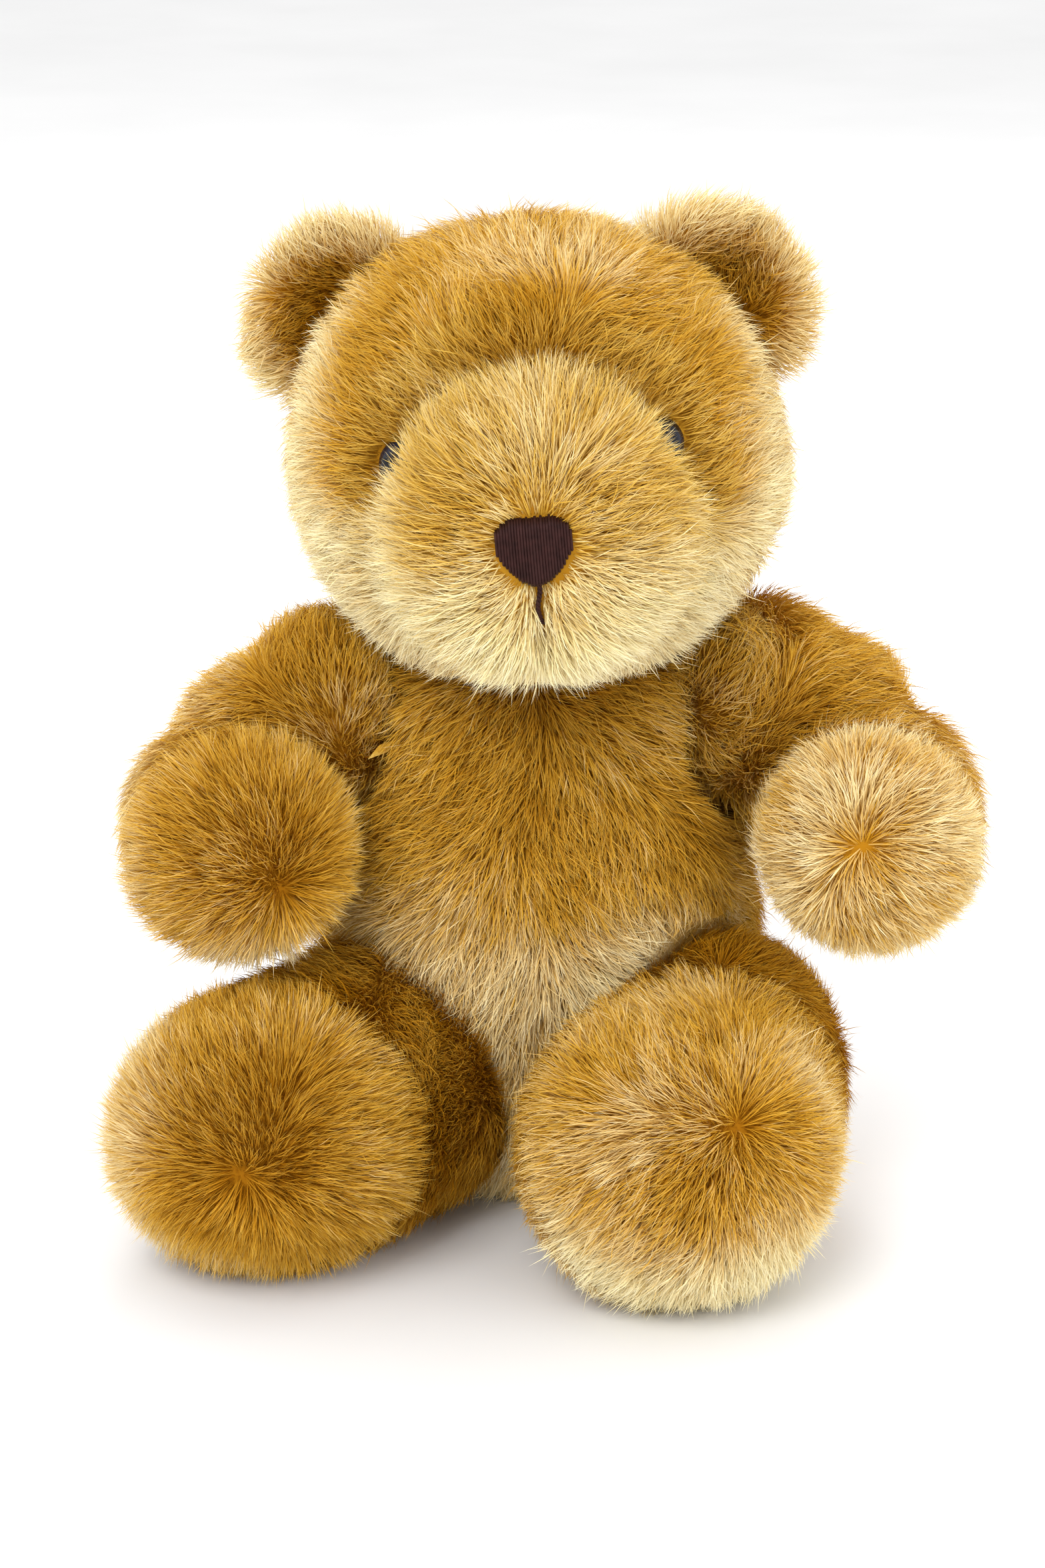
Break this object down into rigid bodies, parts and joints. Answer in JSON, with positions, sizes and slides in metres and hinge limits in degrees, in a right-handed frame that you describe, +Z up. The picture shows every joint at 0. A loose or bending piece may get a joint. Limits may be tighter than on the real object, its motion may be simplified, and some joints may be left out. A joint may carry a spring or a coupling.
{
  "type": "jointed teddy bear",
  "caption": "Plush bear that sits, with a turning head and swinging arms and legs on disc joints, in golden fur with a paler muzzle.",
  "frame": {"origin": "middle of the flat seat, on the floor under the neck bolt", "axes": "+Z up along the neck bolt, -Y the way the bear faces, +X to the bear's left"},
  "size_m": [0.237, 0.1815, 0.2957],
  "materials": {
    "fur_gold": "long woven pile, golden brown with pale tips",
    "fur_cream": "long woven pile, cream gold",
    "stuffing": "loose white fibre",
    "hardboard": "smooth pressed board",
    "steel": "zinc plated",
    "nose_thread": "satin stitched thread, very dark brown",
    "eye_plastic": "polished black",
    "washer_plastic": "moulded, off white"
  },
  "bodies": {
    "torso": {"torso_front_right_panel": "fur_gold", "torso_front_left_panel": "fur_gold", "torso_back_right_panel": "fur_gold", "torso_back_left_panel": "fur_gold", "torso_stuffing": "stuffing", "neck_disc_lower": "hardboard", "torso_right_shoulder_disc": "hardboard", "torso_right_hip_disc": "hardboard", "torso_left_shoulder_disc": "hardboard", "torso_left_hip_disc": "hardboard", "torso_washers": "steel", "lock_nuts": "steel"},
    "head": {"head_gusset": "fur_gold", "head_right_panel": "fur_gold", "head_left_panel": "fur_gold", "muzzle_panel": "fur_cream", "right_ear_front": "fur_gold", "right_ear_back": "fur_gold", "right_eye": "eye_plastic", "right_eye_washer": "washer_plastic", "left_ear_front": "fur_gold", "left_ear_back": "fur_gold", "left_eye": "eye_plastic", "left_eye_washer": "washer_plastic", "nose": "nose_thread", "mouth_stitch": "nose_thread", "head_stuffing": "stuffing", "neck_disc_upper": "hardboard", "neck_washer": "steel", "neck_bolt": "steel"},
    "right_arm": {"right_arm_upper_panel": "fur_gold", "right_arm_under_panel": "fur_gold", "right_arm_stuffing": "stuffing", "right_arm_shoulder_disc": "hardboard", "right_arm_shoulder_washer": "steel", "right_arm_shoulder_bolt": "steel"},
    "right_leg": {"right_leg_outer_panel": "fur_gold", "right_leg_inner_panel": "fur_gold", "right_leg_sole": "fur_gold", "right_leg_stuffing": "stuffing", "right_leg_hip_disc": "hardboard", "right_leg_hip_washer": "steel", "right_leg_hip_bolt": "steel"},
    "left_arm": {"left_arm_upper_panel": "fur_gold", "left_arm_under_panel": "fur_gold", "left_arm_stuffing": "stuffing", "left_arm_shoulder_disc": "hardboard", "left_arm_shoulder_washer": "steel", "left_arm_shoulder_bolt": "steel"},
    "left_leg": {"left_leg_outer_panel": "fur_gold", "left_leg_inner_panel": "fur_gold", "left_leg_sole": "fur_gold", "left_leg_stuffing": "stuffing", "left_leg_hip_disc": "hardboard", "left_leg_hip_washer": "steel", "left_leg_hip_bolt": "steel"}
  },
  "joints": [
    {"name": "neck", "type": "hinge", "parent": "torso", "child": "head", "pos_m": [0, 0, 0.1664], "axis": [0, 0, 1], "continuous": true},
    {"name": "right_shoulder", "type": "hinge", "parent": "torso", "child": "right_arm", "pos_m": [-0.0486, -0.003, 0.141], "axis": [-0.9317, -0.3306, 0.1503], "range_deg": [-12, 36]},
    {"name": "right_hip", "type": "hinge", "parent": "torso", "child": "right_leg", "pos_m": [-0.035, -0.02, 0.04], "axis": [-0.7409, -0.6007, -0.3004], "range_deg": [-85, 10]},
    {"name": "left_shoulder", "type": "hinge", "parent": "torso", "child": "left_arm", "pos_m": [0.0486, -0.003, 0.141], "axis": [-0.9317, 0.3306, -0.1503], "range_deg": [-12, 36]},
    {"name": "left_hip", "type": "hinge", "parent": "torso", "child": "left_leg", "pos_m": [0.035, -0.02, 0.04], "axis": [-0.7409, 0.6007, 0.3004], "range_deg": [-85, 10]}
  ]
}
